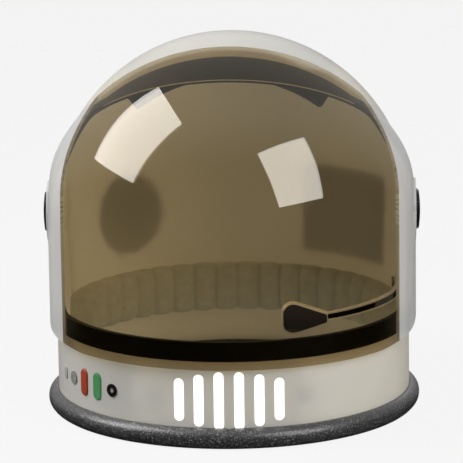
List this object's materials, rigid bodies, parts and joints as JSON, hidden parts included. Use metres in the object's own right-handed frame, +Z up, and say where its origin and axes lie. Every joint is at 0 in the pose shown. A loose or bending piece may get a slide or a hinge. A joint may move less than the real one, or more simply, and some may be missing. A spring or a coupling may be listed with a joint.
{
  "type": "toy space helmet",
  "caption": "Rounded toy space helmet with an olive-tinted lifting visor, foam neck collar, lit bars, push buttons and a boom microphone inside.",
  "frame": {"origin": "on the surface the helmet stands on, under the middle of the foam collar", "axes": "+Z up; the face opening looks along -Y; +X along the visor's hinge line, to the right of someone who looks at the face"},
  "size_m": [0.2922, 0.2906, 0.292],
  "materials": {
    "shell_white": "moulded off-white ABS, satin",
    "trim_black": "black moulded rubber, satin",
    "lens_olive": "olive-tinted clear polycarbonate, polished",
    "cheek_white": "milky white polycarbonate, satin",
    "steel": "zinc-plated steel",
    "washer_felt": "friction washer, matt",
    "knob_black": "black moulded nylon, semi-gloss",
    "collar_foam": "speckled grey foam tube",
    "pad_foam": "olive-grey foam with knit cover",
    "crown_foam": "dark foam with knit cover",
    "diffuser": "milk-white light-spreading acrylic, lit",
    "board_white": "white solder resist on glass epoxy",
    "board_green": "green solder resist on glass epoxy",
    "box_plastic": "grey moulded ABS",
    "box_dark": "dark grey moulded ABS",
    "cable_grey": "flat ribbon cable",
    "keypad_silicone": "translucent silicone",
    "cell_steel": "nickel-plated steel",
    "speaker_black": "black speaker frame and cone",
    "red_plastic": "brick-red moulded ABS",
    "green_plastic": "green moulded ABS",
    "port_black": "black moulded ABS",
    "port_grey": "mid-grey moulded ABS",
    "plug_grey": "light grey moulded ABS",
    "indicator_grey": "grey translucent acrylic",
    "boom_grey": "light grey moulded ABS",
    "mic_black": "glossy black acrylic",
    "patch_dark": "printed vinyl, satin",
    "patch_banded": "printed vinyl, satin"
  },
  "bodies": {
    "helmet": {"front_shell": "shell_white", "rear_shell": "shell_white", "face_trim": "trim_black", "left_pivot_bolt": "steel", "right_pivot_bolt": "steel", "left_pivot_washer": "washer_felt", "right_pivot_washer": "washer_felt", "neck_collar": "collar_foam", "light_bars": "diffuser", "lamp_strip": "board_white", "lamp_cover": "box_plastic", "lamp_cable": "cable_grey", "black_port_ring": "port_black", "black_port_plug": "plug_grey", "grey_port_ring": "port_grey", "grey_port_plug": "plug_grey", "grey_indicator": "indicator_grey", "sound_box": "box_plastic", "circuit_board": "board_green", "button_keypad": "keypad_silicone", "button_cells": "cell_steel", "cell_contacts": "cell_steel", "cell_cover": "box_dark", "speaker": "speaker_black", "small_screws": "steel", "shell_screws": "steel", "mic_bracket": "box_plastic", "mic_pivot_screw": "steel", "crown_pad": "crown_foam", "rear_pad": "pad_foam", "round_patch": "patch_dark", "rectangular_patch": "patch_banded"},
    "visor": {"visor_lens": "lens_olive", "left_visor_cheek": "cheek_white", "right_visor_cheek": "cheek_white"},
    "left_tension_knob": {"left_knob": "knob_black", "left_knob_cap": "knob_black"},
    "right_tension_knob": {"right_knob": "knob_black", "right_knob_cap": "knob_black"},
    "microphone": {"mic_boom": "boom_grey", "boom_strip": "mic_black", "mic_body": "boom_grey", "mic_cover": "mic_black"},
    "red_push_button": {"red_button": "red_plastic"},
    "green_push_button": {"green_button": "green_plastic"}
  },
  "joints": [
    {"name": "visor_hinge", "type": "hinge", "parent": "helmet", "child": "visor", "pos_m": [0, 0, 0.1525], "axis": [-1, 0, 0], "range_deg": [0, 90]},
    {"name": "left_knob_turn", "type": "hinge", "parent": "helmet", "child": "left_tension_knob", "pos_m": [-0.145, 0, 0.1525], "axis": [-1, 0, 0], "range_deg": [0, 180]},
    {"name": "right_knob_turn", "type": "hinge", "parent": "helmet", "child": "right_tension_knob", "pos_m": [0.145, 0, 0.1525], "axis": [1, 0, 0], "range_deg": [0, 180]},
    {"name": "microphone_hinge", "type": "hinge", "parent": "helmet", "child": "microphone", "pos_m": [0.1284, -0.011, 0.097], "axis": [-1, 0, 0], "range_deg": [0, 50]},
    {"name": "red_button_press", "type": "slide", "parent": "helmet", "child": "red_push_button", "axis": [0.8117, 0.5841, 0], "range_m": [0, 0.0014], "stiffness_N_per_m": 900},
    {"name": "green_button_press", "type": "slide", "parent": "helmet", "child": "green_push_button", "axis": [0.7353, 0.6778, 0], "range_m": [0, 0.0014], "stiffness_N_per_m": 900}
  ]
}
